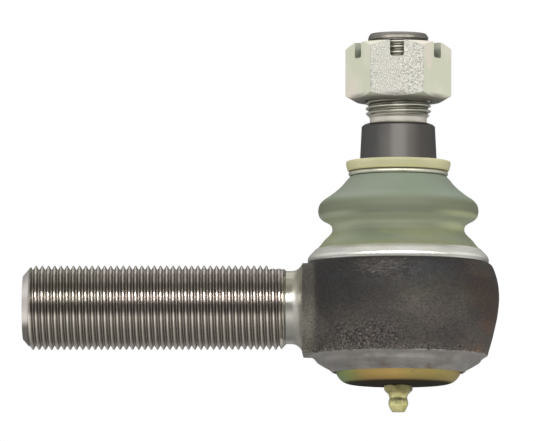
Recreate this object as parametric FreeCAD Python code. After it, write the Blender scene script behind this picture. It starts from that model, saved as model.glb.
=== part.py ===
import FreeCAD, Part
import math, os

V = FreeCAD.Vector
os.makedirs("parts", exist_ok=True)

# ---------------------------------------------------------------------------
# Tie rod end.  Millimetres, +Z up the ball stud, origin at the ball centre,
# threaded shank pointing along -X.
# ---------------------------------------------------------------------------
INCH = 25.4

# threaded shank: 1-1/8"-12 UNF right hand
SHANK_MAJOR_R = 1.125 * INCH / 2.0
SHANK_PITCH = INCH / 12.0
SHANK_END = 127.5            # ball centre to the end of the shank
SHANK_THREAD_END = 124.6     # start of the end chamfer
SHANK_THREAD_START = 39.9    # first full crest beside the neck
SHANK_TIP_R = 11.1
NECK_R = 12.4
FLARE_R = 3.95               # fillet radius between neck and forging
FLARE_FACE = 32.4            # flat end face of the forging's neck block
WRENCH_FLAT_Z = 12.85        # height of the short flat on the last crests
WRENCH_FLAT_LEN = 44.3

# forged barrel
BARREL_TOP = 14.9
BOSS_R = 25.5
BOSS_TOP = 17.5
BORE_R = 24.5
BORE_TOP = 9.5
BORE_BOTTOM = -16.5
OPENING_R = 22.5
OPENING_THROAT_R = 18.3
PLUG_SEAT_R = 25.6
PLUG_SEAT_BOTTOM = -19.1
LIP_TIP_R = 21.85
LIP_TIP_TOP = -20.72
LIP_BOTTOM = -22.15
BLOCK_HALF_W = 16.6
BLOCK_TOP = 14.4
BLOCK_BOTTOM = -16.4

# ball stud: 7/8"-14 UNF right hand, taper 1:10 on diameter
BALL_R = 19.0
BALL_FLAT_R = 7.4
STUD_NECK_R = 11.0
TAPER_SMALL_R = 12.485
TAPER_TOP = 61.6
TAPER_SLOPE = 1.0 / 20.0
TAPER_BOTTOM = 38.0
UNDERCUT_R = 9.7
STUD_MAJOR_R = 0.875 * INCH / 2.0
STUD_PITCH = INCH / 14.0
STUD_GROOVE_START = 64.15
STUD_THREAD_TOP = 90.3
STUD_TIP_Z = 93.3
STUD_TIP_R = 9.55
STUD_LAND_R = 10.22           # reduced last turns beside the end chamfer
STUD_DOME = 0.4               # height of the slightly crowned end
COTTER_R = 2.183
COTTER_Z = 87.2
COTTER_AZ = 29.0             # degrees from +X about +Z

# slotted nut, nominal 1-1/4" across flats less its tolerance
NUT_AF = 31.25
NUT_BOTTOM = 70.2
NUT_TOP = 89.85
NUT_SLOT_W = 4.7
NUT_SLOT_FLOOR = 84.4
NUT_FLAT_AZ = -91.0
NUT_BORE_R = 10.25

# ball seats and preload parts
SEAT_R = 24.4
SEAT_SPHERE_R = 19.08
GREASE_HOLE_R = 4.0

# grease fitting: 1/4-28 body, 11/32" hexagon
FIT_AF = 11.0 / 32.0 * INCH
FIT_SHANK_R = 3.1
PLUG_HOLE_R = 3.15

TAN30 = math.tan(math.radians(30.0))


def P(q):
    return V(q[0], 0.0, q[1])


def wire_of(segments):
    """Closed wire in the XZ plane.  'l' straight runs, 's' smooth runs, 'a' arcs."""
    edges = []
    for seg in segments:
        if seg[0] == 'l':
            for a, b in zip(seg[1][:-1], seg[1][1:]):
                edges.append(Part.makeLine(P(a), P(b)))
        elif seg[0] == 's':
            c = Part.BSplineCurve()
            c.interpolate([P(q) for q in seg[1]])
            edges.append(c.toShape())
        else:
            edges.append(Part.Arc(P(seg[1]), P(seg[2]), P(seg[3])).toShape())
    return Part.Wire(edges)


def turned(segments):
    return Part.Face(wire_of(segments)).revolve(V(0, 0, 0), V(0, 0, 1), 360)


def turned_poly(points):
    return turned([('l', list(points) + [points[0]])])


def solid_of(shape):
    shape = shape.removeSplitter() if shape.ShapeType != 'Solid' else shape
    solids = shape.Solids
    if len(solids) != 1 or not solids[0].isValid():
        raise RuntimeError("expected one valid solid, got %d" % len(solids))
    return solids[0]


def thread_groove(r_major, pitch, z0, length):
    """Right-hand 60 degree groove, wider than the rod so that it cuts clean."""
    depth = 0.6134 * pitch
    root = r_major - depth
    out = r_major + 0.35
    half_root = pitch / 16.0
    half_out = half_root + (out - root) * TAN30
    pts = [P((root, z0 - half_root)), P((out, z0 - half_out)),
           P((out, z0 + half_out)), P((root, z0 + half_root))]
    helix = Part.makeLongHelix(pitch, length, r_major, 0, False)
    helix.translate(V(0, 0, z0))
    prof = Part.makePolygon(pts + [pts[0]])
    return Part.Wire(helix.Edges).makePipeShell([prof], True, True)


def thread_ridge(r_major, pitch, z0, length, clearance, r_in):
    """The matching ridge with clearance, used to cut the nut's thread."""
    out = r_major + 0.09
    half_out = pitch / 16.0 + (r_major - out) * TAN30 + clearance
    half_in = pitch / 16.0 + (r_major - r_in) * TAN30 + clearance
    pts = [P((r_in, z0 - half_in)), P((out, z0 - half_out)),
           P((out, z0 + half_out)), P((r_in, z0 + half_in))]
    helix = Part.makeLongHelix(pitch, length, r_major, 0, False)
    helix.translate(V(0, 0, z0))
    prof = Part.makePolygon(pts + [pts[0]])
    return Part.Wire(helix.Edges).makePipeShell([prof], True, True)


def hexagon(across_flats, z0, z1, flat_azimuth):
    rc = across_flats / 2.0 / math.cos(math.radians(30.0))
    pts = []
    for k in range(6):
        a = math.radians(flat_azimuth + 30.0 + 60.0 * k)
        pts.append(V(rc * math.cos(a), rc * math.sin(a), z0))
    return Part.Face(Part.makePolygon(pts + [pts[0]])).extrude(V(0, 0, z1 - z0))


# ---------------------------------------------------------------------------
# socket housing: forged barrel, neck block and threaded shank in one piece
# ---------------------------------------------------------------------------
def socket_housing():
    barrel = turned([
        ('l', [(0, LIP_BOTTOM), (22.35, LIP_BOTTOM)]),
        ('s', [(22.35, LIP_BOTTOM), (22.7, -21.85), (23.4, -21.25), (24.9, -20.45), (26.5, -19.5),
               (27.7, -18.65), (28.25, -17.9), (29.1, -17.15)]),
        ('l', [(29.1, -17.15), (30.35, -16.4)]),
        ('s', [(30.35, -16.4), (30.65, -15.2), (31.15, -13.5), (31.85, -11.1), (32.65, -7.7),
               (33.45, -4.2), (33.95, -0.9), (34.25, 2.5), (34.15, 5.9), (33.55, 9.6),
               (32.8, 12.1), (31.8, 14.1), (30.8, BARREL_TOP)]),
        ('l', [(30.8, BARREL_TOP), (BOSS_R, BARREL_TOP), (BOSS_R, BOSS_TOP), (0, BOSS_TOP),
               (0, LIP_BOTTOM)]),
    ])

    def section(x, half_w, r):
        """Rounded rectangle across the neck block at one station along X."""
        zc, hz = (BLOCK_TOP + BLOCK_BOTTOM) / 2.0, (BLOCK_TOP - BLOCK_BOTTOM) / 2.0
        q = r * (1.0 - math.sqrt(0.5))
        edges = []
        corners = [(1, 1), (-1, 1), (-1, -1), (1, -1)]
        for k, (sy, sz) in enumerate(corners):
            a = V(x, sy * half_w, zc + sz * (hz - r))
            b = V(x, sy * (half_w - r), zc + sz * hz)
            m = V(x, sy * (half_w - q), zc + sz * (hz - q))
            first, last = (a, b) if k % 2 == 0 else (b, a)
            edges.append(Part.Arc(first, m, last).toShape())
            ny, nz = corners[(k + 1) % 4]
            na = V(x, ny * half_w, zc + nz * (hz - r))
            nb = V(x, ny * (half_w - r), zc + nz * hz)
            edges.append(Part.makeLine(last, nb if k % 2 == 0 else na))
        return Part.Wire(edges)

    block = Part.makeLoft([section(-FLARE_FACE, BLOCK_HALF_W, 7.5), section(-19.0, 26.2, 11.5)],
                          True, True)

    cx, cr = -(FLARE_FACE + FLARE_R), NECK_R + FLARE_R
    s = math.sin(math.radians(45.0))
    flare = Part.Face(Part.Wire([
        Part.makeLine(V(-30.0, 0, 0), V(cx, 0, 0)),
        Part.makeLine(V(cx, 0, 0), V(cx, 0, NECK_R)),
        Part.Arc(V(cx, 0, NECK_R), V(cx + FLARE_R * s, 0, cr - FLARE_R * s), V(-FLARE_FACE, 0, cr)).toShape(),
        Part.makeLine(V(-FLARE_FACE, 0, cr), V(-FLARE_FACE, 0, 10.0)),
        Part.makeLine(V(-FLARE_FACE, 0, 10.0), V(-30.0, 0, 10.0)),
        Part.makeLine(V(-30.0, 0, 10.0), V(-30.0, 0, 0)),
    ])).revolve(V(0, 0, 0), V(1, 0, 0), 360)
    flare = flare.cut(Part.makeBox(20, 60, 10, V(-45, -30, BLOCK_TOP)))

    rod = turned([('l', [
        (0, 31.0), (NECK_R, 31.0), (NECK_R, SHANK_THREAD_START - 1.9),
        (SHANK_MAJOR_R, SHANK_THREAD_START), (SHANK_MAJOR_R, SHANK_THREAD_END),
        (13.9, SHANK_THREAD_END + 0.25), (SHANK_TIP_R, SHANK_END - 0.2),
        (SHANK_TIP_R - 0.25, SHANK_END), (0, SHANK_END), (0, 31.0)])])
    rod = rod.cut(thread_groove(SHANK_MAJOR_R, SHANK_PITCH, 37.4, 92.5))
    rod.rotate(V(0, 0, 0), V(0, 1, 0), -90)
    rod = rod.cut(Part.makeBox(WRENCH_FLAT_LEN - 30.0, 40, 10,
                               V(-WRENCH_FLAT_LEN, -20, WRENCH_FLAT_Z)))

    cavity = turned([('l', [
        (0, 18.5), (OPENING_R + 0.525, 18.5), (OPENING_R, BOSS_TOP), (OPENING_THROAT_R, BORE_TOP),
        (BORE_R, BORE_TOP), (BORE_R, BORE_BOTTOM), (PLUG_SEAT_R, BORE_BOTTOM),
        (PLUG_SEAT_R, PLUG_SEAT_BOTTOM), (LIP_TIP_R, LIP_TIP_TOP),
        (LIP_TIP_R + 0.1, LIP_BOTTOM), (LIP_TIP_R + 0.12, -23.0), (0, -23.0), (0, 18.5)])])

    body = barrel.fuse(block).fuse(flare)
    body = body.cut(cavity)
    body = body.fuse(rod)
    return solid_of(body.removeSplitter())


# ---------------------------------------------------------------------------
# ball stud
# ---------------------------------------------------------------------------
def ball_stud():
    flat_z = -math.sqrt(BALL_R ** 2 - BALL_FLAT_R ** 2)
    neck_z = math.sqrt(BALL_R ** 2 - STUD_NECK_R ** 2)
    crown_r = (STUD_TIP_R ** 2 + STUD_DOME ** 2) / (2.0 * STUD_DOME)
    crown_c = STUD_TIP_Z + STUD_DOME - crown_r
    crown_mid = crown_c + math.sqrt(crown_r ** 2 - (STUD_TIP_R / 2.0) ** 2)
    body = turned([
        ('l', [(0, flat_z), (BALL_FLAT_R, flat_z)]),
        ('a', (BALL_FLAT_R, flat_z), (BALL_R, 0), (STUD_NECK_R, neck_z)),
        ('l', [(STUD_NECK_R, neck_z), (STUD_NECK_R, 24.0)]),
        ('s', [(STUD_NECK_R, 24.0), (11.12, 26.5), (11.75, 30.0), (12.75, 33.5), (13.5, 36.2),
               (TAPER_SMALL_R + (TAPER_TOP - TAPER_BOTTOM) * TAPER_SLOPE, TAPER_BOTTOM)]),
        ('l', [(TAPER_SMALL_R + (TAPER_TOP - TAPER_BOTTOM) * TAPER_SLOPE, TAPER_BOTTOM),
               (TAPER_SMALL_R, TAPER_TOP), (11.75, 62.25), (UNDERCUT_R, 63.0),
               (UNDERCUT_R, 64.5), (STUD_MAJOR_R, 66.1), (STUD_MAJOR_R, STUD_THREAD_TOP),
               (STUD_LAND_R + 0.1, 91.1), (STUD_LAND_R, 92.2), (STUD_TIP_R, STUD_TIP_Z)]),
        ('a', (STUD_TIP_R, STUD_TIP_Z), (STUD_TIP_R / 2.0, crown_mid), (0, STUD_TIP_Z + STUD_DOME)),
        ('l', [(0, STUD_TIP_Z + STUD_DOME), (0, flat_z)]),
    ])
    body = body.cut(thread_groove(STUD_MAJOR_R, STUD_PITCH, STUD_GROOVE_START, 31.0))
    a = math.radians(COTTER_AZ)
    d = V(math.cos(a), math.sin(a), 0)
    hole = Part.makeCylinder(COTTER_R, 40.0, V(0, 0, COTTER_Z) - d * 20.0, d)
    body = body.cut(hole)
    return solid_of(body)


# ---------------------------------------------------------------------------
# slotted hexagon nut
# ---------------------------------------------------------------------------
def castle_nut():
    nut = hexagon(NUT_AF, NUT_BOTTOM, NUT_TOP, NUT_FLAT_AZ)
    rc = NUT_AF / 2.0 / math.cos(math.radians(30.0)) + 0.6
    t_low, t_up = TAN30, math.tan(math.radians(35.0))
    blank = turned_poly([
        (0, NUT_BOTTOM), (14.5, NUT_BOTTOM), (rc, NUT_BOTTOM + (rc - 14.5) * t_low),
        (rc, NUT_TOP - (rc - 15.45) * t_up), (15.45, NUT_TOP), (0, NUT_TOP)])
    nut = nut.common(blank)
    bore = turned_poly([
        (0, NUT_BOTTOM - 1), (12.6, NUT_BOTTOM - 1), (STUD_MAJOR_R + 0.5, NUT_BOTTOM),
        (NUT_BORE_R, NUT_BOTTOM + 1.36 * 0.8), (NUT_BORE_R, NUT_TOP - 0.9),
        (STUD_MAJOR_R + 0.1, NUT_TOP), (STUD_MAJOR_R + 0.8, NUT_TOP + 1), (0, NUT_TOP + 1)])
    nut = nut.cut(bore)
    z0 = STUD_GROOVE_START + STUD_PITCH / 2.0 + 2 * STUD_PITCH
    nut = nut.cut(thread_ridge(STUD_MAJOR_R, STUD_PITCH, z0, NUT_TOP + 2.0 - z0, 0.08, 9.95))
    half = NUT_SLOT_W / 2.0
    r = 0.9
    for k in range(6):
        prof = Part.Wire([
            Part.makeLine(V(0, -half, 95), V(0, -half, NUT_SLOT_FLOOR + r)),
            Part.Arc(V(0, -half, NUT_SLOT_FLOOR + r),
                     V(0, -half + r * (1 - math.sqrt(0.5)), NUT_SLOT_FLOOR + r * (1 - math.sqrt(0.5))),
                     V(0, -half + r, NUT_SLOT_FLOOR)).toShape(),
            Part.makeLine(V(0, -half + r, NUT_SLOT_FLOOR), V(0, half - r, NUT_SLOT_FLOOR)),
            Part.Arc(V(0, half - r, NUT_SLOT_FLOOR),
                     V(0, half - r * (1 - math.sqrt(0.5)), NUT_SLOT_FLOOR + r * (1 - math.sqrt(0.5))),
                     V(0, half, NUT_SLOT_FLOOR + r)).toShape(),
            Part.makeLine(V(0, half, NUT_SLOT_FLOOR + r), V(0, half, 95)),
            Part.makeLine(V(0, half, 95), V(0, -half, 95)),
        ])
        slot = Part.Face(prof).extrude(V(25, 0, 0))
        slot.translate(V(6.0, 0, 0))
        slot.rotate(V(0, 0, 0), V(0, 0, 1), NUT_FLAT_AZ + 60.0 * k)
        nut = nut.cut(slot)
    return solid_of(nut)


# ---------------------------------------------------------------------------
# ball seats, preload plate and disc spring
# ---------------------------------------------------------------------------
def upper_ball_seat():
    z_lo, z_hi = 0.2, 7.5
    r_lo = math.sqrt(SEAT_SPHERE_R ** 2 - z_lo ** 2)
    r_hi = math.sqrt(SEAT_SPHERE_R ** 2 - z_hi ** 2)
    zm = 4.0
    return solid_of(turned([
        ('a', (r_lo, z_lo), (math.sqrt(SEAT_SPHERE_R ** 2 - zm ** 2), zm), (r_hi, z_hi)),
        ('l', [(r_hi, z_hi), (OPENING_THROAT_R, 9.4), (SEAT_R, 9.4), (SEAT_R, z_lo), (r_lo, z_lo)])]))


def lower_ball_seat():
    z_hi = -0.2
    r_hi = math.sqrt(SEAT_SPHERE_R ** 2 - z_hi ** 2)
    z_lo = -math.sqrt(SEAT_SPHERE_R ** 2 - GREASE_HOLE_R ** 2)
    return solid_of(turned([
        ('a', (GREASE_HOLE_R, z_lo), (SEAT_SPHERE_R * math.sin(math.radians(50)),
                                      -SEAT_SPHERE_R * math.cos(math.radians(50))), (r_hi, z_hi)),
        ('l', [(r_hi, z_hi), (SEAT_R, z_hi), (SEAT_R, -13.0), (20.8, -16.6), (18.3, -19.1),
               (17.6, -19.6), (GREASE_HOLE_R, -19.6), (GREASE_HOLE_R, z_lo)])]))


def pressure_plate():
    return solid_of(turned_poly([(4.2, -19.7), (14.0, -19.7), (14.0, -20.7), (4.2, -20.7)]))


def disc_spring():
    t = 1.2
    ax, az, bx, bz = 6.0, -20.8, 13.5, -22.15
    L = math.hypot(bx - ax, bz - az)
    nx, nz = (bz - az) / L * t, -(bx - ax) / L * t
    return solid_of(turned_poly([(ax, az), (bx, bz), (bx + nx, bz + nz), (ax + nx, az + nz)]))


def plug_seal_ring():
    return Part.makeTorus(23.4, 1.0, V(0, 0, -15.65))


# ---------------------------------------------------------------------------
# pressed steel end plug
# ---------------------------------------------------------------------------
def end_plug():
    body = turned([
        ('l', [(PLUG_HOLE_R, -23.9), (13.0, -23.9)]),
        ('s', [(13.0, -23.9), (15.4, -23.65), (17.1, -22.9), (18.3, -21.5)]),
        ('l', [(18.3, -21.5), (19.3, -19.6)]),
        ('s', [(19.3, -19.6), (20.1, -18.55), (21.4, -17.75), (22.9, -17.3)]),
        ('l', [(22.9, -17.3), (22.9, -16.7), (25.4, -16.7), (25.4, -19.0), (22.1, -20.45)]),
        ('s', [(22.1, -20.45), (21.6, -20.8), (21.38, -21.4), (21.15, -22.3), (20.55, -23.5),
               (19.7, -24.55), (18.6, -25.4), (16.8, -26.0), (14.0, -26.3)]),
        ('l', [(14.0, -26.3), (8.0, -26.45), (PLUG_HOLE_R, -26.45), (PLUG_HOLE_R, -23.9)]),
    ])
    return solid_of(body)


# ---------------------------------------------------------------------------
# grease fitting, check ball and check spring
# ---------------------------------------------------------------------------
def grease_fitting_body():
    z_hex_top, z_hex_bottom = -26.5, -29.2
    rc = FIT_AF / 2.0 / math.cos(math.radians(30.0))
    hexa = hexagon(FIT_AF, z_hex_bottom, z_hex_top, -73.0)
    hexa = hexa.common(turned_poly([
        (0, z_hex_bottom), (3.75, z_hex_bottom), (rc + 0.2, z_hex_bottom + rc + 0.2 - 3.75),
        (rc + 0.2, z_hex_top - 0.35), (FIT_AF / 2.0 + 0.1, z_hex_top), (0, z_hex_top)]))
    stem = turned([
        ('l', [(0, -21.6), (FIT_SHANK_R - 0.3, -21.6), (FIT_SHANK_R, -21.9), (FIT_SHANK_R, -28.0),
               (3.6, -28.5), (3.6, -29.2)]),
        ('s', [(3.6, -29.2), (3.38, -29.6), (3.13, -30.05), (3.02, -30.5), (3.05, -30.95)]),
        ('s', [(3.05, -30.95), (3.2, -31.5), (3.36, -32.3), (3.33, -33.0), (3.05, -33.8), (2.6, -34.7),
               (2.14, -35.5)]),
        ('l', [(2.14, -35.5), (0, -35.5), (0, -21.6)]),
    ])
    body = stem.fuse(hexa)
    bore = turned_poly([
        (0, -21.0), (0.8, -21.0), (0.8, -24.4), (1.4, -24.4), (1.4, -33.75), (0.75, -34.2),
        (0.75, -35.2), (1.05, -35.6), (0, -35.6)])
    return solid_of(body.cut(bore).removeSplitter())


def grease_check_ball():
    return Part.makeSphere(1.15, V(0, 0, -33.3))


def grease_check_spring():
    z0, z1, wire_r, coil_r = -31.93, -24.68, 0.17, 1.0
    turns = 8.0
    helix = Part.makeLongHelix((z1 - z0) / turns, z1 - z0, coil_r, 0, False)
    helix.translate(V(0, 0, z0))
    tangent = helix.Edges[0].tangentAt(helix.Edges[0].FirstParameter)
    ring = Part.Wire([Part.makeCircle(wire_r, V(coil_r, 0, z0), tangent)])
    return solid_of(Part.Wire(helix.Edges).makePipeShell([ring], True, True))


# ---------------------------------------------------------------------------
# dust boot with its two rings
# ---------------------------------------------------------------------------
def dust_boot():
    def taper(z):
        return TAPER_SMALL_R + (TAPER_TOP - z) * TAPER_SLOPE + 0.15
    return solid_of(turned([
        ('l', [(taper(49.8), 49.8), (17.25, 49.8)]),
        ('s', [(17.25, 49.8), (17.7, 49.6), (17.8, 49.05), (17.68, 48.2), (17.35, 47.0), (17.1, 46.5)]),
        ('l', [(17.1, 46.5), (15.4, 46.3), (15.35, 44.7), (16.35, 44.6)]),
        ('s', [(16.35, 44.6), (16.85, 44.05), (17.85, 42.95), (18.85, 41.7), (20.7, 39.9), (23.15, 38.0),
               (25.45, 36.4), (26.7, 35.05), (27.15, 33.75), (27.22, 32.35), (26.85, 30.9), (25.8, 29.75),
               (24.1, 28.85), (22.85, 27.9), (22.45, 26.7), (22.68, 25.4), (23.7, 24.15), (25.2, 22.7),
               (26.4, 21.2), (27.1, 20.4), (27.72, 19.68)]),
        ('l', [(27.72, 19.68), (27.25, 19.15), (28.0, 18.3), (28.6, 17.6), (29.1, 16.95), (29.4, 16.4),
               (29.6, 15.9), (29.63, 15.1), (25.7, 15.1), (25.7, 17.9)]),
        ('s', [(25.7, 17.9), (25.3, 18.5), (24.5, 19.3), (23.4, 21.2), (21.9, 23.1), (20.7, 24.7),
               (20.3, 26.6), (20.8, 28.6), (22.2, 30.1), (23.8, 30.95), (24.8, 31.7), (25.2, 32.6),
               (24.9, 34.0), (23.5, 35.4), (21.4, 37.1), (18.9, 39.1), (16.4, 41.6), (14.8, 43.3),
               (taper(44.0), 44.0)]),
        ('l', [(taper(44.0), 44.0), (taper(49.8), 49.8)]),
    ]))


def boot_top_ring():
    return Part.makeTorus(16.2, 0.75, V(0, 0, 45.5))


def boot_retainer():
    return solid_of(turned([
        ('s', [(28.05, 19.7), (28.85, 18.87), (29.5, 18.22), (30.02, 17.68), (30.4, 17.22),
               (30.62, 16.78), (30.73, 16.3), (30.77, 15.75), (30.7, 15.3), (30.5, 15.0)]),
        ('l', [(30.5, 15.0), (29.75, 15.0)]),
        ('s', [(29.75, 15.0), (29.72, 15.9), (29.55, 16.5), (29.2, 17.05), (28.7, 17.7), (28.1, 18.4),
               (27.5, 19.15)]),
        ('l', [(27.5, 19.15), (28.05, 19.7)]),
    ]))


BUILDERS = [
    ("socket_housing", socket_housing),
    ("upper_ball_seat", upper_ball_seat),
    ("lower_ball_seat", lower_ball_seat),
    ("pressure_plate", pressure_plate),
    ("disc_spring", disc_spring),
    ("plug_seal_ring", plug_seal_ring),
    ("end_plug", end_plug),
    ("grease_fitting_body", grease_fitting_body),
    ("grease_check_ball", grease_check_ball),
    ("grease_check_spring", grease_check_spring),
    ("dust_boot", dust_boot),
    ("boot_top_ring", boot_top_ring),
    ("boot_retainer", boot_retainer),
    ("ball_stud", ball_stud),
    ("castle_nut", castle_nut),
]

for name, make in BUILDERS:
    make().exportStep("parts/%s.step" % name)
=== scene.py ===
import math
import bpy
import bmesh
import numpy as np
from mathutils import Vector, Matrix


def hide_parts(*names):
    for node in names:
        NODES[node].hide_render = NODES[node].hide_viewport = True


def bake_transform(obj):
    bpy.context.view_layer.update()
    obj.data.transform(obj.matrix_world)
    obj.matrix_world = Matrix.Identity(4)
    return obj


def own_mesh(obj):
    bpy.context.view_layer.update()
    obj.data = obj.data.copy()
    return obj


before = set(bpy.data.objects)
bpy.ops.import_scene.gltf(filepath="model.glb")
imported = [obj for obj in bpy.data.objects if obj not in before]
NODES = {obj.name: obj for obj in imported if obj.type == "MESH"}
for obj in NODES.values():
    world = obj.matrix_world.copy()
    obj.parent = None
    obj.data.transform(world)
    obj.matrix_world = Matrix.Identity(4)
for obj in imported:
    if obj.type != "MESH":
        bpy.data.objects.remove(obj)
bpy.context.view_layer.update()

MM = 0.001
scene = bpy.context.scene

# ---------------------------------------------------------------------------
# camera: a long lens, a little below the ball centre and looking slightly up
# ---------------------------------------------------------------------------
AZ, EL, ROLL = math.radians(1.5), math.radians(-5.0), math.radians(0.08)
DIST = 3.0
PX_PER_MM = 2.945
CENTRE_PX = (398.3, 307.6)          # where the ball centre lies in the frame

back = Vector((math.sin(AZ) * math.cos(EL), -math.cos(AZ) * math.cos(EL), math.sin(EL)))
right0 = Vector((math.cos(AZ), math.sin(AZ), 0.0))
up0 = back.cross(right0)
right = right0 * math.cos(ROLL) + up0 * math.sin(ROLL)
up = up0 * math.cos(ROLL) - right0 * math.sin(ROLL)
target = (right * ((535 / 2 - CENTRE_PX[0]) / PX_PER_MM) + up * ((CENTRE_PX[1] - 441 / 2) / PX_PER_MM)) * MM
cam_data = bpy.data.cameras.new("camera")
cam_data.sensor_width = 36.0
cam_data.lens = 36.0 * DIST / (535 / PX_PER_MM * MM)
cam_data.clip_start, cam_data.clip_end = 0.05, 100.0
cam = bpy.data.objects.new("camera", cam_data)
scene.collection.objects.link(cam)
cam.matrix_world = Matrix((
    (right.x, up.x, back.x, target.x + back.x * DIST),
    (right.y, up.y, back.y, target.y + back.y * DIST),
    (right.z, up.z, back.z, target.z + back.z * DIST),
    (0, 0, 0, 1)))
scene.camera = cam
scene.view_settings.view_transform = "Standard"
scene.view_settings.look = "None"


# ---------------------------------------------------------------------------
# material helper
# ---------------------------------------------------------------------------
class Mat:
    def __init__(self, name, moulded=False):
        self.m = bpy.data.materials.new(name)
        self.m.use_nodes = True
        self.t = self.m.node_tree
        self.b = self.t.nodes["Principled BSDF"]
        tc = self.new("ShaderNodeTexCoord")
        self.co, self.nrm = tc.outputs["Object"], tc.outputs["Normal"]
        if moulded:
            place = self.new("ShaderNodeAttribute", attribute_name="moulded_place")
            self.co = place.outputs["Vector"]
        sep = self.new("ShaderNodeSeparateXYZ")
        self.link(self.co, sep.inputs[0])
        self.x, self.y, self.z = sep.outputs

    def new(self, kind, **props):
        n = self.t.nodes.new(kind)
        for k, v in props.items():
            setattr(n, k, v)
        return n

    def link(self, a, b):
        self.t.links.new(a, b)

    def put(self, sock, v):
        if isinstance(v, bpy.types.NodeSocket):
            self.link(v, sock)
        else:
            sock.default_value = v

    def math(self, op, a, b=0.0, c=None, clamp=False):
        n = self.new("ShaderNodeMath", operation=op, use_clamp=clamp)
        self.put(n.inputs[0], a)
        self.put(n.inputs[1], b)
        if c is not None:
            self.put(n.inputs[2], c)
        return n.outputs[0]

    def length(self, a, b):
        return self.math("SQRT", self.math("ADD", self.math("MULTIPLY", a, a), self.math("MULTIPLY", b, b)))

    def map(self, v, a, b, c=0.0, d=1.0, smooth=True):
        n = self.new("ShaderNodeMapRange", interpolation_type="SMOOTHSTEP" if smooth else "LINEAR")
        for i, q in enumerate((v, a, b, c, d)):
            self.put(n.inputs[i], q)
        return n.outputs[0]

    def scaled(self, sx, sy, sz):
        n = self.new("ShaderNodeMapping")
        self.link(self.co, n.inputs["Vector"])
        n.inputs["Scale"].default_value = (sx, sy, sz)
        return n.outputs[0]

    def noise(self, scale, detail=4.0, rough=0.5, vec=None, distortion=0.0, lac=2.0):
        n = self.new("ShaderNodeTexNoise")
        self.link(vec if vec is not None else self.co, n.inputs["Vector"])
        n.inputs["Scale"].default_value = scale
        n.inputs["Detail"].default_value = detail
        n.inputs["Roughness"].default_value = rough
        n.inputs["Lacunarity"].default_value = lac
        n.inputs["Distortion"].default_value = distortion
        return n.outputs["Fac"]

    def voronoi(self, scale, feature="F1", vec=None, randomness=1.0):
        n = self.new("ShaderNodeTexVoronoi", feature=feature)
        self.link(vec if vec is not None else self.co, n.inputs["Vector"])
        n.inputs["Scale"].default_value = scale
        n.inputs["Randomness"].default_value = randomness
        return n.outputs["Distance"]

    def mix(self, fac, a, b, mode="MIX"):
        n = self.new("ShaderNodeMix", data_type="RGBA", blend_type=mode)
        self.put(n.inputs[0], fac)
        for s, v in ((n.inputs[6], a), (n.inputs[7], b)):
            if isinstance(v, bpy.types.NodeSocket):
                self.link(v, s)
            else:
                s.default_value = (*v, 1.0) if len(v) == 3 else v
        return n.outputs[2]

    def lerp(self, fac, a, b):
        n = self.new("ShaderNodeMix", data_type="FLOAT")
        self.put(n.inputs[0], fac)
        self.put(n.inputs[2], a)
        self.put(n.inputs[3], b)
        return n.outputs[0]

    def ramp(self, fac, stops):
        n = self.new("ShaderNodeValToRGB")
        e = n.color_ramp.elements
        while len(e) < len(stops):
            e.new(0.5)
        for i, (p, c) in enumerate(stops):
            e[i].position = p
            e[i].color = (*c, 1.0)
        self.put(n.inputs[0], fac)
        return n.outputs[0]

    def bump(self, height, strength, distance, normal=None):
        n = self.new("ShaderNodeBump")
        n.inputs["Strength"].default_value = strength
        n.inputs["Distance"].default_value = distance
        self.link(height, n.inputs["Height"])
        if normal is not None:
            self.link(normal, n.inputs["Normal"])
        return n.outputs[0]

    def vec(self, op, a, b=None, scale=None):
        n = self.new("ShaderNodeVectorMath", operation=op)
        self.put(n.inputs[0], a)
        if b is not None:
            self.put(n.inputs[1], b)
        if scale is not None:
            self.put(n.inputs["Scale"], scale)
        return n.outputs["Value" if op == "DOT_PRODUCT" else "Vector"]

    def turned(self, axis, amount=1.0):
        """The surface normal without its part around a turning axis, so a lathe-cut face shines evenly."""
        around = self.vec("NORMALIZE", self.vec("CROSS_PRODUCT", axis, self.co))
        part = self.math("MULTIPLY", self.vec("DOT_PRODUCT", self.nrm, around), amount)
        n = self.vec("NORMALIZE", self.vec("SUBTRACT", self.nrm, self.vec("SCALE", around, scale=part)))
        t = self.new("ShaderNodeVectorTransform", vector_type="NORMAL", convert_from="OBJECT", convert_to="WORLD")
        self.link(n, t.inputs[0])
        return self.vec("NORMALIZE", t.outputs[0])

    def set(self, **kw):
        names = dict(color="Base Color", metallic="Metallic", rough="Roughness", normal="Normal",
                     ior="IOR", coat="Coat Weight", coat_rough="Coat Roughness", sss="Subsurface Weight",
                     sss_radius="Subsurface Radius", sss_scale="Subsurface Scale", spec="Specular IOR Level",
                     aniso="Anisotropic", trans="Transmission Weight", sheen="Sheen Weight")
        for k, v in kw.items():
            s = self.b.inputs[names[k]]
            if isinstance(v, bpy.types.NodeSocket):
                self.link(v, s)
            elif k == "color":
                s.default_value = (*v, 1.0)
            else:
                s.default_value = v
        return self.m


def srgb(r, g, b):
    def f(c):
        c /= 255.0
        return c / 12.92 if c <= 0.04045 else ((c + 0.055) / 1.055) ** 2.4
    return (f(r), f(g), f(b))


def dress(name, material):
    o = NODES[name]
    if not o.material_slots:
        o.data.materials.append(material)
    for s in o.material_slots:
        s.material = material


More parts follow.
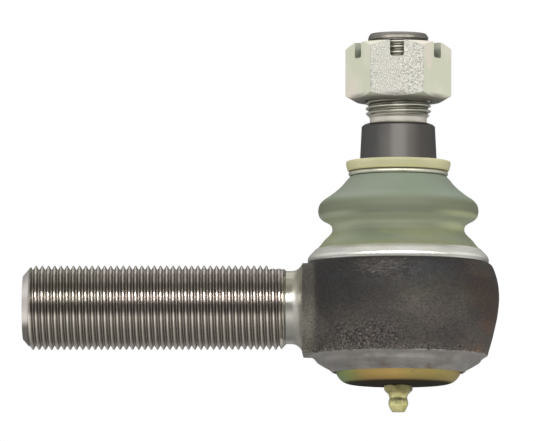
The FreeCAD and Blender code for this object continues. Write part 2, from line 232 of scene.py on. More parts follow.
# ---------------------------------------------------------------------------
# materials
# ---------------------------------------------------------------------------
def housing_material():
    m = Mat("forged_and_machined_steel")
    rho = m.length(m.y, m.z)
    shank = m.map(m.x, -0.03225, -0.0326, 0, 1)
    wob = m.noise(420, 3, 0.6)
    lip_edge = m.math("ADD", m.z, m.math("MULTIPLY", m.math("SUBTRACT", wob, 0.5), 0.0010))
    lip = m.map(lip_edge, -0.0160, -0.0166, 0, 1)

    # forged and shot-blasted skin
    big = m.noise(26, 3, 0.5)
    mid = m.noise(520, 4, 0.6)
    fine = m.noise(2300, 2, 0.6)
    base = m.mix(m.map(big, 0.36, 0.66), srgb(73, 67, 63), srgb(85, 79, 73))
    olive = m.math("MULTIPLY", m.map(m.noise(34, 2, vec=m.scaled(0.8, 0.8, 1.7)), 0.50, 0.64), m.map(m.z, -0.010, 0.0))
    base = m.mix(m.math("MULTIPLY", olive, 0.45), base, srgb(104, 100, 84))
    # painted shade: the upper left of the barrel, beside the neck block, is darker
    painted_shade_left = m.math("MULTIPLY", m.map(m.x, -0.006, -0.018), m.map(m.z, -0.007, 0.001))
    painted_shade_left = m.math("MULTIPLY", painted_shade_left, m.map(m.x, -0.0285, -0.0245))
    base = m.mix(m.math("MULTIPLY", painted_shade_left, 0.60), base, srgb(52, 48, 45))
    # a darker patch on the upper right of the barrel
    dark_patch_upper_right = m.math("MULTIPLY", m.map(m.x, 0.013, 0.022), m.map(m.z, 0.006, 0.0125))
    base = m.mix(m.math("MULTIPLY", dark_patch_upper_right, 0.30), base, srgb(56, 53, 52))
    rust = m.math("MULTIPLY", m.map(m.noise(40, 4, 0.55, vec=m.scaled(1.0, 1.0, 1.6)), 0.44, 0.60),
                  m.map(m.x, 0.017, 0.028))
    base = m.mix(m.math("MULTIPLY", rust, 0.70), base, srgb(98, 72, 57))
    blue = m.math("MULTIPLY", m.map(m.noise(55, 3, 0.5, vec=m.scaled(0.7, 0.7, 1.4)), 0.52, 0.64), m.map(m.z, 0.004, 0.012))
    base = m.mix(m.math("MULTIPLY", blue, 0.5), base, srgb(66, 67, 77))
    # painted light: the front of the neck block is lighter, as its flat face catches the light
    painted_light_neck_block = m.math("MULTIPLY", m.map(m.x, -0.0265, -0.0290), m.map(m.noise(90, 3), 0.30, 0.55, 0.4, 1.0))
    base = m.mix(m.math("MULTIPLY", painted_light_neck_block, 0.7), base, srgb(104, 101, 90))
    # painted shade: the barrel grows darker towards the top, under the retainer
    base = m.mix(m.map(m.z, -0.013, 0.011), base, (0.44, 0.44, 0.45), mode="MULTIPLY")

    # soft lighter and darker fields on the front of the skin, partly its own uneven tone and partly painted light and
    # shade: lighter low down, darker on the left; the back gets one even tone
    wx = m.math("ADD", m.x, m.math("MULTIPLY", m.math("SUBTRACT", m.noise(70, 3), 0.5), 0.010))
    wz = m.math("ADD", m.z, m.math("MULTIPLY", m.math("SUBTRACT", m.noise(85, 3), 0.5), 0.006))

    def field(cx, cz, rx, rz, amount, inner=0.45, outer=1.3):
        d = m.length(m.math("MULTIPLY", m.math("SUBTRACT", wx, cx), 1.0 / rx),
                     m.math("MULTIPLY", m.math("SUBTRACT", wz, cz), 1.0 / rz))
        return m.map(d, outer, inner, 0.0, amount)

    front = m.map(m.y, 0.004, -0.004)
    tone = m.math("ADD", field(0.0125, -0.0015, 0.0130, 0.0065, 0.40), 0.60)
    for q in (field(-0.0060, 0.0125, 0.0085, 0.0036, 0.60), field(-0.0040, -0.0040, 0.0100, 0.0045, 0.16),
              field(-0.0125, 0.0060, 0.0090, 0.0050, -0.11), field(-0.0235, -0.0060, 0.0040, 0.0120, -0.10),
              m.map(wz, -0.0040, -0.0095, 0, 0.09), m.map(wz, -0.0115, -0.0155, 0, 0.24), m.math("MULTIPLY", m.map(wz, -0.0145, -0.0163, 0, 0.28), m.map(wx, 0.004, -0.002)),
              m.math("MULTIPLY", m.map(m.x, -0.0272, -0.0295, 0, 0.56), m.map(m.z, -0.012, -0.003, 0.4, 1.0)),
              m.math("MULTIPLY", m.map(wx, 0.018, 0.026, 0, 0.22), m.map(wz, -0.003, -0.008)),
              m.math("MULTIPLY", m.map(wx, 0.021, 0.026, 0, 0.36), m.map(wz, 0.008, 0.0105))):
        tone = m.math("ADD", tone, q)
    tone = m.lerp(front, 0.72, tone)
    base = m.mix(1.0, base, tone, mode="MULTIPLY")

    # grain: coarse and glinting on two patches and the lower rim, quiet elsewhere
    turn = m.new("ShaderNodeMapping")
    m.link(m.co, turn.inputs["Vector"])
    turn.inputs["Rotation"].default_value = (0.0, math.radians(-22.0), 0.0)
    turn.inputs["Scale"].default_value = (0.34, 0.8, 1.25)
    speck = m.noise(1500, 3, 0.66)
    drag = m.noise(1250, 3, 0.62, vec=turn.outputs[0])
    top_patch = field(-0.0055, 0.0115, 0.0130, 0.0050, 1.0, 0.30, 1.25)
    patch = m.math("MAXIMUM", top_patch, field(-0.0110, -0.0120, 0.0155, 0.0065, 1.0, 0.35, 1.2))
    patch = m.math("MAXIMUM", patch, m.map(wz, -0.0135, -0.0155, 0, 0.75))
    patch = m.math("MULTIPLY", patch, m.map(m.noise(170, 3, 0.6), 0.34, 0.56, 0.45, 1.0))
    patch = m.lerp(front, 0.45, patch)
    lit = m.lerp(m.math("ADD", m.math("MULTIPLY", top_patch, 0.40), 0.30), speck, drag)
    gain = m.math("ADD", m.math("MULTIPLY", patch, 9.0), 3.4)
    grain = m.math("MAXIMUM", m.math("ADD", m.math("MULTIPLY", m.math("SUBTRACT", lit, 0.5), gain), 1.0), 0.30)
    base = m.mix(1.0, base, grain, mode="MULTIPLY")
    base = m.mix(m.math("MULTIPLY", m.map(lit, 0.58, 0.70), m.math("MULTIPLY", patch, 0.45)), base, srgb(150, 141, 138))
    # painted shade: a dark band round the top rim of the barrel, under the retainer
    base = m.mix(m.map(m.z, 0.0140, 0.0148, 0, 0.7), base, srgb(26, 24, 23))

    # turned steel of the shank, with painted shade in the thread roots
    streak = m.noise(1500, 3, 0.6, vec=m.scaled(1.0, 0.10, 0.10))
    turned = m.mix(m.map(streak, 0.3, 0.7), srgb(176, 168, 162), srgb(206, 198, 192))
    turned = m.mix(m.map(m.noise(22, 3), 0.44, 0.66, 0, 0.5), turned, srgb(172, 172, 156))
    # painted light: the lower front of the shank is painted lighter
    low = m.math("MULTIPLY", m.map(m.z, -0.0026, -0.0044), front)
    turned = m.mix(m.math("MULTIPLY", low, 0.60), turned, srgb(234, 228, 219))
    # painted shade: the thread roots are painted dark
    root = m.math("MULTIPLY", m.map(rho, 0.01390, 0.01318), m.map(m.x, -0.0389, -0.0399))
    turned = m.mix(m.math("MULTIPLY", root, 0.55), turned, srgb(84, 78, 72))
    # painted shade: two darker bands on the front of the shank, above and below its highlight
    painted_dark_bands = m.math("MAXIMUM", m.math("MULTIPLY", m.map(m.z, 0.0028, 0.0044), m.map(m.z, 0.0084, 0.0070)),
                  m.math("MULTIPLY", m.map(m.z, -0.0032, -0.0020), m.map(m.z, 0.0012, 0.0000)))
    turned = m.mix(m.math("MULTIPLY", m.math("MULTIPLY", painted_dark_bands, front), 0.38), turned, srgb(112, 107, 100))
    face = m.map(m.x, -0.1249, -0.1256)
    # painted light and shade on the end chamfer: lighter towards the top, darker low on the front
    bevel = m.mix(m.map(m.z, 0.0010, 0.0050), srgb(222, 214, 208), srgb(253, 247, 241))
    bevel = m.mix(m.math("MULTIPLY", m.map(m.z, -0.0046, -0.0078), front), bevel, srgb(124, 118, 112))
    turned = m.mix(face, turned, bevel)
    # painted shade: the upper front of the neck is darker
    neck = m.map(m.x, -0.0392, -0.0386)
    turned = m.mix(neck, turned, m.mix(m.math("MULTIPLY", m.map(m.z, 0.0030, 0.0060), front), srgb(184, 182, 174), srgb(172, 168, 153)))

    # spun lip
    smear = m.noise(300, 4, 0.6, vec=m.scaled(0.45, 0.45, 1.2))
    spun = m.mix(m.map(smear, 0.35, 0.65), srgb(146, 142, 138), srgb(172, 168, 163))
    # painted shade: the spun lip is darker towards the left
    spun = m.mix(m.map(m.x, -0.006, -0.020, 0, 0.35), spun, srgb(120, 117, 114))
    spun = m.mix(m.map(lip_edge, -0.0176, -0.0166, 0, 0.45), spun, srgb(172, 168, 165))
    stain = m.math("MULTIPLY", m.map(m.noise(140, 4, 0.7), 0.52, 0.62), m.map(m.z, -0.0192, -0.0214))
    spun = m.mix(m.math("MULTIPLY", stain, 0.6), spun, srgb(132, 104, 78))

    color = m.mix(lip, base, spun)
    color = m.mix(shank, color, turned)
    metal = m.lerp(shank, m.lerp(lip, 0.22, 0.50), 1.0)
    rough = m.lerp(shank, m.lerp(lip, m.map(mid, 0.3, 0.7, 0.58, 0.70), m.map(smear, 0.3, 0.7, 0.46, 0.56)),
                   m.math("ADD", m.map(streak, 0.3, 0.7, 0.150, 0.175), m.math("MULTIPLY", root, 0.17)))
    wear_and_painted_highlight = m.math("ADD", m.map(m.x, -0.0393, -0.0384, 0, 0.03), m.map(m.x, -0.0366, -0.0345, 0, 0.26))
    rough = m.math("ADD", rough, m.math("MULTIPLY", shank, wear_and_painted_highlight))
    h_forged = m.math("ADD", m.math("MULTIPLY", mid, 0.40), m.math("MULTIPLY", fine, 0.30))
    h_forged = m.math("ADD", h_forged, m.math("MULTIPLY", lit, m.math("ADD", m.math("MULTIPLY", patch, 1.1), 0.35)))
    h_turned = m.math("ADD", m.math("MULTIPLY", streak, 0.007), 0.4)
    h = m.lerp(shank, m.lerp(lip, h_forged, m.math("MULTIPLY", smear, 0.22)), h_turned)
    nrm = m.bump(h, 0.8, 0.00012, m.turned((1.0, 0.0, 0.0), shank))
    return m.set(color=color, metallic=metal, rough=rough, normal=nrm)


def stud_material():
    m = Mat("stud_steel")
    r = m.length(m.x, m.y)
    cone = m.math("MULTIPLY", m.map(m.z, 0.0628, 0.0625), m.map(m.z, 0.020, 0.0205))
    fine = m.noise(2600, 3, 0.6)
    ring = m.noise(1100, 2, 0.5, vec=m.scaled(0.10, 0.10, 3.0))
    tint = m.noise(40, 2, 0.5)
    dark = m.mix(m.map(tint, 0.35, 0.65), srgb(84, 81, 78), srgb(91, 88, 85))
    dark = m.mix(m.map(fine, 0.45, 0.7, 0, 0.12), dark, srgb(124, 120, 116))
    bare = m.mix(m.map(ring, 0.3, 0.7), srgb(184, 183, 170), srgb(214, 213, 202))
    # painted shade: the thread roots are painted dark
    root = m.math("MULTIPLY", m.map(r, 0.01085, 0.01008), m.map(m.z, 0.0651, 0.0657))
    bare = m.mix(m.math("MULTIPLY", root, 0.6), bare, srgb(92, 88, 76))
    # painted light and shade on the undercut: darker around the middle, lighter towards the sides
    under = m.math("MULTIPLY", m.map(m.z, 0.0655, 0.0648), m.map(m.z, 0.0627, 0.0630))
    bare = m.mix(under, bare, m.mix(m.map(m.math("ABSOLUTE", m.x), 0.003, 0.008), srgb(178, 175, 166), srgb(214, 209, 200)))
    # painted shade: the last thread turn is darker, with a dark line for its groove
    last = m.math("MULTIPLY", m.map(m.z, 0.0899, 0.0904), m.map(m.z, 0.0927, 0.0921))
    bare = m.mix(m.math("MULTIPLY", last, 0.75), bare, srgb(128, 123, 116))
    bare = m.mix(m.math("MULTIPLY", m.math("MULTIPLY", m.map(m.z, 0.0908, 0.0911), m.map(m.z, 0.0915, 0.0912)), 0.6), bare, srgb(70, 66, 60))
    end = m.map(m.z, 0.0923, 0.0929)
    bare = m.mix(end, bare, m.mix(fine, srgb(150, 146, 140), srgb(186, 183, 177)))
    dark = m.mix(m.map(m.x, 0.002, -0.010, 0, 0.35), dark, srgb(84, 88, 90))
    # painted highlight: a lighter streak down the front middle of the cone
    wear_and_painted_highlight = m.math("MULTIPLY", m.map(m.math("ABSOLUTE", m.math("ADD", m.x, -0.0004)), 0.0062, 0.0012), m.map(m.y, 0.0, -0.006))
    dark = m.mix(m.math("MULTIPLY", wear_and_painted_highlight, 0.45), dark, srgb(116, 113, 109))
    color = m.mix(cone, bare, dark)
    rough = m.lerp(cone, m.lerp(under, m.map(ring, 0.3, 0.7, 0.26, 0.36), 0.58), m.map(tint, 0.3, 0.7, 0.31, 0.35))
    metal = m.lerp(cone, 1.0, 0.95)
    h = m.math("ADD", m.math("MULTIPLY", ring, 0.6), m.math("MULTIPLY", fine, 0.4))
    return m.set(color=color, metallic=metal, rough=rough, normal=m.bump(h, 0.25, 0.00003, m.turned((0.0, 0.0, 1.0), m.map(m.z, 0.0845, 0.0842))))


def nut_material():
    m = Mat("nut_zinc_plate")
    grain = m.noise(2700, 3, 0.7)
    grit = m.voronoi(2600)
    tint = m.noise(70, 3, 0.5)
    tint2 = m.noise(95, 2, 0.5, vec=m.scaled(1.0, 1.3, 0.6))
    c = m.mix(m.map(tint, 0.36, 0.64), srgb(223, 221, 205), srgb(211, 213, 191))
    c = m.mix(m.map(tint2, 0.50, 0.66, 0, 0.7), c, srgb(228, 216, 204))
    # the forged flat that faces the front is peened: bright and dark grains, painted darker than the other flats as
    # shade against the light that falls on it
    a = math.radians(-91.0)
    along = m.math("ADD", m.math("MULTIPLY", m.x, math.cos(a)), m.math("MULTIPLY", m.y, math.sin(a)))
    front = m.map(along, 0.01545, 0.01556)
    speck = m.mix(m.map(grain, 0.36, 0.60), srgb(118, 116, 108), srgb(196, 195, 187))
    c = m.mix(m.math("MULTIPLY", front, 0.9), c, speck)
    c = m.mix(m.map(m.noise(900, 5, 0.7), 0.60, 0.75, 0, 0.25), c, srgb(176, 174, 160))
    # painted shade: darker round the bore, where the nut meets the stud
    inner = m.map(m.length(m.x, m.y), 0.0122, 0.0114)
    c = m.mix(m.math("MULTIPLY", inner, 0.75), c, srgb(96, 92, 84))
    # painted shade: the slots are darker, more so towards their floors
    slots = 0.0
    for k in range(3):
        b = math.radians(-91.0 + 60.0 * k)
        u = m.math("ABSOLUTE", m.math("ADD", m.math("MULTIPLY", m.x, math.cos(b)), m.math("MULTIPLY", m.y, math.sin(b))))
        v = m.math("ABSOLUTE", m.math("SUBTRACT", m.math("MULTIPLY", m.y, math.cos(b)), m.math("MULTIPLY", m.x, math.sin(b))))
        slots = m.math("MAXIMUM", m.math("MULTIPLY", m.map(u, 0.01560, 0.01545), m.map(v, 0.00245, 0.00239)), slots)
    slots = m.math("MULTIPLY", slots, m.map(m.z, 0.0842, 0.0844))
    c = m.mix(m.math("MULTIPLY", slots, m.map(m.z, 0.0845, 0.0890, 0.85, 0.55)), c, srgb(104, 110, 100))
    shade = m.math("MULTIPLY", m.map(m.length(m.x, m.y), 0.0174, 0.0150), m.map(m.z, 0.0728, 0.0712))
    c = m.mix(m.math("MULTIPLY", shade, 0.86), c, srgb(96, 90, 84))
    h = m.math("ADD", m.math("MULTIPLY", grain, m.lerp(front, 0.10, 0.8)), m.math("MULTIPLY", grit, m.lerp(front, 0.02, 0.2)))
    rough = m.lerp(front, m.map(tint, 0.3, 0.7, 0.46, 0.56), 0.38)
    return m.set(color=c, metallic=0.30, rough=rough, normal=m.bump(h, 0.7, 0.00012))


def boot_material(moulded):
    """moulded: tones follow the skin as it bends, read from the place each point was moulded at."""
    m = Mat("polyurethane_skin" if moulded else "polyurethane_boot", moulded)
    soft = m.noise(48, 3, 0.5)
    cloud = m.noise(95, 3, 0.5, vec=m.scaled(0.6, 0.6, 1.4))
    fine = m.noise(1400, 3, 0.6)
    low = m.mix(m.map(soft, 0.35, 0.65), srgb(111, 118, 98), srgb(117, 123, 104))
    # painted light: the sides of the lower boot and its waist are lighter
    side = m.math("MULTIPLY", m.map(m.math("ABSOLUTE", m.x), 0.010, 0.021), m.math("MULTIPLY", m.map(m.z, 0.0360, 0.0300), m.map(m.z, 0.0240, 0.0268, m.map(m.x, -0.005, 0.008, 0.42, 0.12), 1.0)))
    painted_side_light = m.mix(m.map(m.x, -0.01, 0.01), srgb(160, 167, 146), srgb(178, 183, 143))
    low = m.mix(m.math("MULTIPLY", side, 0.9), low, painted_side_light)
    high = m.mix(m.map(soft, 0.35, 0.65), srgb(126, 138, 120), srgb(132, 140, 125))
    c = m.mix(m.map(m.z, 0.0340, 0.0385), low, high)
    c = m.mix(m.map(m.z, 0.0372, 0.0390), c, (0.90, 0.90, 0.90), mode="MULTIPLY")
    # painted shade: darker round the waist
    c = m.mix(m.math("MULTIPLY", m.map(m.z, 0.0268, 0.0258), m.map(m.z, 0.0236, 0.0250)), c, (0.90, 0.90, 0.90), mode="MULTIPLY")
    # painted shade: a darker band round the bulge
    painted_shade_band = m.math("MULTIPLY", m.map(m.z, 0.0304, 0.0320), m.map(m.z, 0.0366, 0.0340))
    c = m.mix(m.math("MULTIPLY", painted_shade_band, 0.85), c, srgb(101, 107, 85))
    # painted light: the underside of the bulge is lighter
    under = m.math("MULTIPLY", m.map(m.z, 0.0309, 0.0292), m.map(m.z, 0.0264, 0.0286))
    c = m.mix(m.math("MULTIPLY", under, 0.95), c, srgb(176, 183, 157))
    warm = m.math("MULTIPLY", m.map(m.z, 0.0290, 0.0235), m.map(cloud, 0.44, 0.64))
    c = m.mix(m.math("MULTIPLY", warm, 0.35), c, srgb(140, 142, 96))
    base_edge = m.map(m.z, 0.0218, 0.0203, 0, 0.5)
    c = m.mix(base_edge, c, srgb(122, 126, 90))
    lip = m.map(m.z, 0.0455, 0.0466)
    lip_tone = m.mix(m.map(soft, 0.35, 0.62), srgb(173, 173, 133), srgb(180, 173, 146))
    lip_tone = m.mix(m.map(m.z, 0.0480, 0.0468, 0, 0.5), lip_tone, srgb(194, 188, 130))
    # painted light and shade on the lip: lighter towards the sides, darker in the middle
    lip_tone = m.mix(m.map(m.math("ABSOLUTE", m.x), 0.006, 0.014, 0, 0.55), lip_tone, srgb(204, 201, 156))
    c = m.mix(lip, c, lip_tone)
    h = m.math("ADD", m.math("MULTIPLY", fine, 0.4), m.math("MULTIPLY", m.noise(160, 3), 0.6))
    return m.set(color=c, rough=m.map(soft, 0.3, 0.7, 0.48, 0.58), normal=m.bump(h, 0.2, 0.00010),
                 sss=0.30, sss_radius=(0.9, 1.0, 0.5), sss_scale=0.0015, ior=1.45)


def retainer_material():
    m = Mat("retainer_zinc_plate")
    r = m.length(m.x, m.y)
    comb = m.new("ShaderNodeCombineXYZ")
    m.put(comb.inputs[0], m.math("MULTIPLY", r, 3000))
    m.put(comb.inputs[1], m.math("MULTIPLY", m.z, 1500))
    m.put(comb.inputs[2], m.math("MULTIPLY", m.math("ARCTAN2", m.y, m.x), 1.2))
    brush = m.noise(1, 4, 0.6, vec=comb.outputs[0])
    cloud = m.noise(85, 4, 0.55)
    c = m.mix(m.map(cloud, 0.35, 0.65), srgb(214, 213, 201), srgb(224, 224, 218))
    c = m.mix(m.map(m.noise(900, 4, 0.7), 0.58, 0.74, 0, 0.3), c, srgb(176, 174, 166))
    # painted reflection: the upper part takes on the boot's yellow-green
    c = m.mix(m.map(m.z, 0.0180, 0.0196, 0, 0.75), c, srgb(160, 160, 134))
    # painted light: lighter towards the sides, most of all on the right
    c = m.mix(m.map(m.math("ABSOLUTE", m.x), 0.016, 0.027, 0, 0.8), c, srgb(240, 239, 230))
    c = m.mix(m.map(m.x, 0.014, 0.024, 0, 0.9), c, srgb(254, 253, 244))
    # painted shade: darker along the lower edge
    c = m.mix(m.map(m.z, 0.0166, 0.0158, 0, 0.6), c, srgb(138, 136, 132))
    return m.set(color=c, metallic=0.72, rough=m.map(brush, 0.3, 0.7, 0.22, 0.31),
                 normal=m.bump(brush, 0.3, 0.00006, m.turned((0.0, 0.0, 1.0))))


def wire_material(name, a, b):
    m = Mat(name)
    n = m.noise(260, 4, 0.6)
    return m.set(color=m.mix(m.map(n, 0.35, 0.65), a, b), metallic=0.8,
                 rough=m.map(n, 0.3, 0.7, 0.32, 0.44), normal=m.bump(m.noise(1800, 3, 0.6), 0.10, 0.00002, m.turned((0.0, 0.0, 1.0))))


def plug_material():
    m = Mat("plug_yellow_zinc")
    n = m.noise(48, 4, 0.55, distortion=0.3)
    hue = m.math("ADD", m.map(m.x, -0.021, 0.006, 0.0, 0.62, smooth=False), m.math("MULTIPLY", n, 0.42))
    c = m.ramp(hue, [(0.12, srgb(116, 152, 90)), (0.30, srgb(142, 152, 90)), (0.44, srgb(182, 154, 94)),
                     (0.66, srgb(196, 164, 98)), (0.80, srgb(180, 160, 96)), (0.98, srgb(166, 160, 102))])
    c = m.mix(m.map(m.noise(380, 5, 0.7), 0.58, 0.74, 0, 0.5), c, srgb(138, 104, 66))
    # painted shade: the underside of the plug is near-black and matt
    under = m.map(m.z, -0.0250, -0.0260)
    c = m.mix(m.math("MULTIPLY", under, 0.97), c, srgb(22, 20, 13))
    return m.set(color=c, metallic=m.lerp(under, 0.60, 0.0), rough=m.lerp(under, m.map(n, 0.3, 0.7, 0.36, 0.48), 1.0),
                 normal=m.bump(m.noise(900, 4, 0.65), 0.3, 0.00005), spec=0.25)


def fitting_material():
    m = Mat("fitting_yellow_zinc")
    n = m.noise(230, 4, 0.6)
    c = m.mix(m.map(n, 0.35, 0.62), srgb(204, 198, 124), srgb(226, 220, 162))
    c = m.mix(m.map(m.noise(420, 3), 0.5, 0.68, 0, 0.6), c, srgb(160, 146, 92))
    c = m.mix(m.map(m.z, -0.0294, -0.0288, 0, 0.5), c, srgb(150, 136, 92))
    return m.set(color=c, metallic=0.70, rough=m.map(n, 0.3, 0.7, 0.26, 0.38),
                 normal=m.bump(m.noise(1500, 3), 0.3, 0.00004))


def plain(name, a, b, metallic, rough, scale=300, bump=0.3, depth=0.00005):
    m = Mat(name)
    n = m.noise(scale, 4, 0.6)
    return m.set(color=m.mix(m.map(n, 0.35, 0.65), a, b), metallic=metallic,
                 rough=m.map(n, 0.3, 0.7, rough - 0.05, rough + 0.07), normal=m.bump(m.noise(scale * 4, 3), bump, depth))


dress("socket_housing", housing_material())
dress("ball_stud", stud_material())
dress("castle_nut", nut_material())
dress("boot_retainer", retainer_material())
dress("boot_top_ring", wire_material("ring_wire", srgb(192, 192, 177), srgb(211, 209, 192)))
dress("end_plug", plug_material())
dress("grease_fitting_body", fitting_material())
dress("grease_check_ball", plain("check_ball_steel", srgb(196, 196, 200), srgb(214, 214, 216), 1.0, 0.16))
spring_steel = plain("spring_steel", srgb(112, 112, 116), srgb(140, 140, 142), 1.0, 0.36)
dress("grease_check_spring", spring_steel)
dress("disc_spring", spring_steel)
dress("pressure_plate", plain("stamped_steel", srgb(150, 150, 148), srgb(168, 168, 164), 1.0, 0.4))
seat = plain("acetal_seat", srgb(226, 222, 208), srgb(234, 231, 220), 0.0, 0.45)
dress("upper_ball_seat", seat)
dress("lower_ball_seat", seat)
dress("plug_seal_ring", plain("seal_rubber", srgb(34, 34, 34), srgb(44, 44, 43), 0.0, 0.6))
dress("dust_boot", boot_material(False))
boot_mat = boot_material(True)


# ---------------------------------------------------------------------------
# dust boot: one moulded skin, shown as two turned meshes that meet on the crest of the bulge
# ---------------------------------------------------------------------------
def smooth_run(points, step):
    """Catmull-Rom through the points, in mm, resampled at about one step."""
    p = [np.array(q, float) for q in points]
    p = [2 * p[0] - p[1]] + p + [2 * p[-1] - p[-2]]
    out = []
    for i in range(1, len(p) - 2):
        a, b, c, d = p[i - 1], p[i], p[i + 1], p[i + 2]
        n = max(2, int(math.ceil(np.linalg.norm(c - b) / step)))
        for k in range(n):
            t = k / n
            out.append(0.5 * (2 * b + (c - a) * t + (2 * a - 5 * b + 4 * c - d) * t * t
                              + (3 * b - a - 3 * c + d) * t ** 3))
    out.append(p[-2])
    return out


def straight(points, step):
    out = []
    for a, b in zip(points[:-1], points[1:]):
        a, b = np.array(a, float), np.array(b, float)
        n = max(1, int(math.ceil(np.linalg.norm(b - a) / step)))
        out += [a + (b - a) * k / n for k in range(n)]
    out.append(np.array(points[-1], float))
    return out


def joined(*runs):
    out = list(runs[0])
    for r in runs[1:]:
        out += list(r)[1:]
    return out


def turned_mesh(name, profile, segments):
    """Closed profile of (r, z) in mm, anticlockwise seen with r to the right."""
    n = len(profile)
    verts, faces = [], []
    for k in range(segments):
        a = 2 * math.pi * k / segments
        ca, sa = math.cos(a), math.sin(a)
        for r, z in profile:
            verts.append((r * ca * MM, r * sa * MM, z * MM))
    for k in range(segments):
        j = (k + 1) % segments
        for i in range(n):
            i2 = (i + 1) % n
            faces.append((k * n + i, j * n + i, j * n + i2, k * n + i2))
    me = bpy.data.meshes.new(name)
    me.from_pydata(verts, [], faces)
    me.validate()
    bm = bmesh.new()
    bm.from_mesh(me)
    bmesh.ops.recalc_face_normals(bm, faces=bm.faces)
    for f in bm.faces:
        f.smooth = True
    for e in bm.edges:
        if e.calc_face_angle(0.0) > math.radians(38.0):
            e.smooth = False
    bm.to_mesh(me)
    bm.free()
    place = me.attributes.new("moulded_place", "FLOAT_VECTOR", "POINT")
    place.data.foreach_set("vector", [c for v in me.vertices for c in v.co])
    o = bpy.data.objects.new(name, me)
    scene.collection.objects.link(o)
    return o


def taper(z):
    return 12.485 + (61.6 - z) / 20.0 + 0.15


SEAM_OUT, SEAM_IN = (27.24, 33.0), (25.18, 33.0)
STEP = 0.45
upper_profile = joined(
    smooth_run([SEAM_OUT, (27.15, 33.75), (26.7, 35.05), (25.45, 36.4), (23.15, 38.0), (20.7, 39.9),
                (18.85, 41.7), (17.85, 42.95), (16.85, 44.05), (16.35, 44.6)], STEP),
    straight([(16.35, 44.6), (15.4, 44.72)], 0.4),
    smooth_run([(15.4, 44.72), (15.36, 45.5), (15.45, 46.28)], 0.25),
    straight([(15.45, 46.28), (17.1, 46.5)], 0.4),
    smooth_run([(17.1, 46.5), (17.35, 47.0), (17.68, 48.2), (17.8, 49.05), (17.7, 49.55), (17.4, 49.77),
                (17.0, 49.8)], 0.25),
    straight([(17.0, 49.8), (13.6, 49.8)], STEP),
    smooth_run([(13.6, 49.8), (13.36, 49.72), (taper(49.5), 49.5)], 0.12),
    straight([(taper(49.5), 49.5), (taper(44.2), 44.2)], STEP),
    smooth_run([(taper(44.2), 44.2), (14.0, 43.95), (14.9, 43.2), (16.4, 41.6), (18.9, 39.1), (21.4, 37.1),
                (23.5, 35.4), (24.9, 34.0), SEAM_IN], STEP),
    straight([SEAM_IN, SEAM_OUT], 0.4))[:-1]
lower_profile = joined(
    smooth_run([SEAM_IN, (25.18, 32.4), (24.8, 31.7), (23.8, 30.95), (22.2, 30.1), (20.8, 28.6), (20.3, 26.6),
                (20.7, 24.7), (21.9, 23.1), (23.4, 21.2), (24.5, 19.3), (25.3, 18.5), (25.7, 17.9)], STEP),
    straight([(25.7, 17.9), (25.7, 15.1), (29.63, 15.1)], STEP),
    smooth_run([(29.63, 15.1), (29.6, 15.9), (29.4, 16.4), (29.1, 16.95), (28.6, 17.6), (28.0, 18.3),
                (27.25, 19.15)], STEP),
    straight([(27.25, 19.15), (27.72, 19.68)], STEP),
    smooth_run([(27.72, 19.68), (27.1, 20.4), (26.4, 21.2), (25.2, 22.7), (23.7, 24.15), (22.68, 25.4), (22.45, 26.7), (22.85, 27.9),
                (24.1, 28.85), (25.8, 29.75), (26.85, 30.9), (27.22, 32.35), SEAM_OUT], STEP),
    straight([SEAM_OUT, SEAM_IN], 0.4))[:-1]
boot_upper = turned_mesh("boot_skin_upper", upper_profile, 288)
boot_lower = turned_mesh("boot_skin_lower", lower_profile, 288)
for o in (boot_upper, boot_lower):
    o.data.materials.append(boot_mat)
    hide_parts("dust_boot")
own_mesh(NODES["grease_check_spring"])
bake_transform(boot_lower)
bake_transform(boot_upper)


# ---------------------------------------------------------------------------
# studio: pale floor far below, white surround, a light tent that is bright
# below and above and dim at eye level, and a long strip light in front
# ---------------------------------------------------------------------------
bpy.ops.mesh.primitive_plane_add(size=90.0, location=(0, 0, -4.5))
floor = bpy.context.object
floor.name = "studio_floor"
fm = Mat("studio_floor_paint")
floor.data.materials.append(fm.set(color=fm.mix(fm.noise(0.6, 2), srgb(246, 246, 245), srgb(250, 250, 249)), rough=0.9))
floor.visible_glossy = False
floor.visible_diffuse = False

world = bpy.data.worlds.new("studio")
scene.world = world
world.use_nodes = True
wt = world.node_tree
bg = wt.nodes["Background"]
bg2 = wt.nodes.new("ShaderNodeBackground")
lp = wt.nodes.new("ShaderNodeLightPath")
mixw = wt.nodes.new("ShaderNodeMixShader")
wout = wt.nodes["World Output"]
wt.links.new(lp.outputs["Is Camera Ray"], mixw.inputs[0])
wt.links.new(bg.outputs[0], mixw.inputs[1])
wt.links.new(bg2.outputs[0], mixw.inputs[2])
wt.links.new(mixw.outputs[0], wout.inputs[0])
bg2.inputs[0].default_value = (1, 1, 1, 1)
bg2.inputs[1].default_value = 1.0
wco = wt.nodes.new("ShaderNodeTexCoord")
wsep = wt.nodes.new("ShaderNodeSeparateXYZ")
wmap = wt.nodes.new("ShaderNodeMapRange")
wramp = wt.nodes.new("ShaderNodeValToRGB")
wt.links.new(wco.outputs["Generated"], wsep.inputs[0])
wmap.inputs[1].default_value, wmap.inputs[2].default_value = -1.0, 1.0
wt.links.new(wmap.outputs[0], wramp.inputs[0])


def wmath(op, a, b=0.0, clamp=False):
    n = wt.nodes.new("ShaderNodeMath")
    n.operation, n.use_clamp = op, clamp
    for sock, v in ((n.inputs[0], a), (n.inputs[1], b)):
        if isinstance(v, bpy.types.NodeSocket):
            wt.links.new(v, sock)
        else:
            sock.default_value = v
    return n.outputs[0]


def wramp2(v, a, b, c, d):
    n = wt.nodes.new("ShaderNodeMapRange")
    n.interpolation_type = "SMOOTHSTEP"
    wt.links.new(v, n.inputs[0])
    for i, q in enumerate((a, b, c, d)):
        n.inputs[i + 1].default_value = q
    return n.outputs[0]


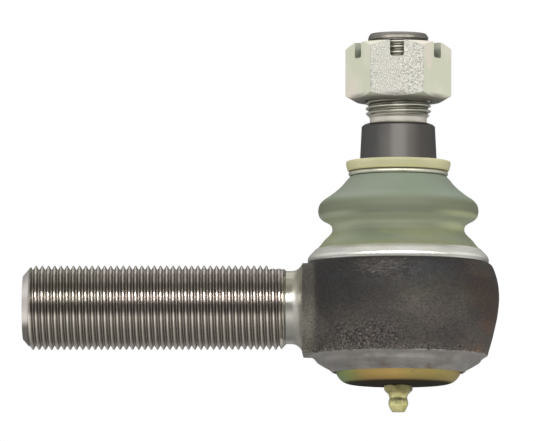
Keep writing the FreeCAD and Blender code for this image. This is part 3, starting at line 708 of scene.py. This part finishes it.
# the tent runs straight along X, so its height is read across that axis
sx, sy, sz = wsep.outputs
side_x = wmath("MULTIPLY", sx, 0.35)
across = wmath("ADD", wmath("ADD", wmath("MULTIPLY", sy, sy), wmath("MULTIPLY", sz, sz)), wmath("MULTIPLY", side_x, side_x))
wt.links.new(wmath("DIVIDE", sz, wmath("SQRT", across)), wmap.inputs[0])

# dimmer behind the part, above all low down, and brighter panels left and right
behind = wmath("MULTIPLY", wramp2(wsep.outputs[1], 0.05, 0.55, 0.0, 1.0), wramp2(wsep.outputs[2], -0.15, 0.45, 0.50, 0.30))
sides = wmath("MULTIPLY", wramp2(wmath("ABSOLUTE", wsep.outputs[0]), 0.50, 0.92, 0.0, 0.34),
              wmath("MULTIPLY", wramp2(wsep.outputs[2], -0.42, -0.20, 0.0, 1.0), wramp2(wsep.outputs[2], 0.45, 0.75, 1.0, 0.0)))
tent = wt.nodes.new("ShaderNodeVectorMath")
tent.operation = "SCALE"
wt.links.new(wramp.outputs[0], tent.inputs[0])
wt.links.new(wmath("SUBTRACT", 1.0, behind), tent.inputs["Scale"])
panels = wt.nodes.new("ShaderNodeVectorMath")
panels.operation = "ADD"
wt.links.new(tent.outputs[0], panels.inputs[0])
wt.links.new(sides, panels.inputs[1])
wt.links.new(panels.outputs[0], bg.inputs[0])
TENT = [(-90, 0.44), (-65, 0.55), (-48, 0.78), (-32, 1.12), (-20, 0.90), (-8, 0.45), (5, 0.37), (15, 0.38),
        (45, 0.41), (66, 0.47), (90, 0.77)]
els = wramp.color_ramp.elements
while len(els) < len(TENT):
    els.new(0.5)
for i, (elev, v) in enumerate(TENT):
    els[i].position = 0.5 + 0.5 * math.sin(math.radians(elev))
    els[i].color = (v, v, v * 0.985, 1.0)
bg.inputs[1].default_value = 1.0


def softbox(name, direction, distance, size_x, size_y, power, color=(1, 1, 1), aim=(-0.03, 0, 0.02)):
    d = Vector(direction).normalized()
    data = bpy.data.lights.new(name, "AREA")
    data.shape = "RECTANGLE"
    data.size, data.size_y = size_x, size_y
    data.energy = power
    data.color = color
    o = bpy.data.objects.new(name, data)
    scene.collection.objects.link(o)
    o.visible_camera = False
    o.location = Vector(aim) + d * distance
    o.rotation_mode = "QUATERNION"
    o.rotation_quaternion = d.to_track_quat("Z", "Y")
    return o


def direction(az, el):
    a, e = math.radians(az), math.radians(el)
    return (math.sin(a) * math.cos(e), -math.cos(a) * math.cos(e), math.sin(e))


softbox("key", direction(0, 32), 2.2, 4.2, 0.38, 38, (1.0, 0.99, 0.98))
softbox("key_ends", direction(0, 32), 2.21, 7.4, 0.38, 27, (1.0, 0.99, 0.98))
softbox("fill", direction(1, 11), 0.36, 0.30, 0.055, 0.155, aim=(0, 0, 0.057))
softbox("rear", direction(180, 55), 2.2, 1.8, 1.8, 8)
